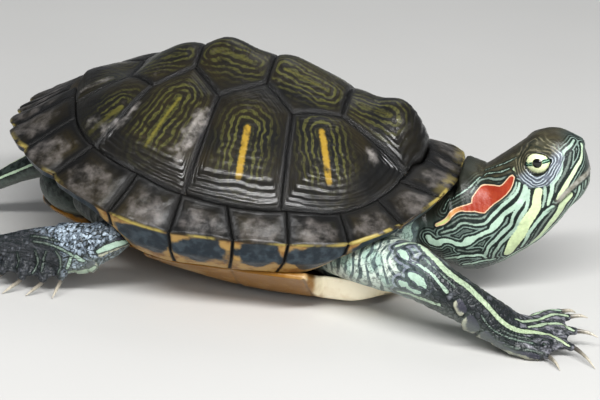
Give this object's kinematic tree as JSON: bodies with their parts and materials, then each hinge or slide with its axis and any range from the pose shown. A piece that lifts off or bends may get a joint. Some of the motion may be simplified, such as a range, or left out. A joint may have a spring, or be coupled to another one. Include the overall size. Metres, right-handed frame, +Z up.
{
  "type": "red-eared slider turtle",
  "caption": "Life-size still model of a young red-eared slider turtle, standing with its neck raised and limbs spread.",
  "frame": {"origin": "bottom centre of the model's box, on the floor under the shell", "axes": "+X towards the head, +Y to the animal's left, +Z up"},
  "size_m": [0.1594, 0.1042, 0.0534],
  "materials": {
    "carapace": "wet horn, black-brown with olive lines and yellow bars",
    "plastron": "horn, cream-yellow with dark blotches",
    "skin": "damp scaly skin, grey-green with pale striping",
    "foot": "damp scaly skin, dark grey with pale striping",
    "eye": "wet and glossy, pale yellow-green iris and black pupil",
    "claw": "smooth horn"
  },
  "bodies": {
    "root": {"carapace": "carapace", "plastron": "plastron", "trunk": "skin", "neck": "skin", "head": "skin", "eye_left": "eye", "eye_right": "eye", "tail": "skin", "foreleg_left_upper": "skin", "foreleg_left_lower": "skin", "foreleg_right_upper": "skin", "foreleg_right_lower": "skin", "hindleg_left_upper": "skin", "hindleg_left_lower": "skin", "hindleg_right_upper": "skin", "hindleg_right_lower": "skin", "forefoot_left": "foot", "forefoot_left_claw_1": "claw", "forefoot_left_claw_2": "claw", "forefoot_left_claw_3": "claw", "forefoot_left_claw_4": "claw", "forefoot_left_claw_5": "claw", "forefoot_right": "foot", "forefoot_right_claw_1": "claw", "forefoot_right_claw_2": "claw", "forefoot_right_claw_3": "claw", "forefoot_right_claw_4": "claw", "forefoot_right_claw_5": "claw", "hindfoot_left": "foot", "hindfoot_left_claw_1": "claw", "hindfoot_left_claw_2": "claw", "hindfoot_left_claw_3": "claw", "hindfoot_left_claw_4": "claw", "hindfoot_right": "foot", "hindfoot_right_claw_1": "claw", "hindfoot_right_claw_2": "claw", "hindfoot_right_claw_3": "claw", "hindfoot_right_claw_4": "claw"}
  },
  "joints": []
}
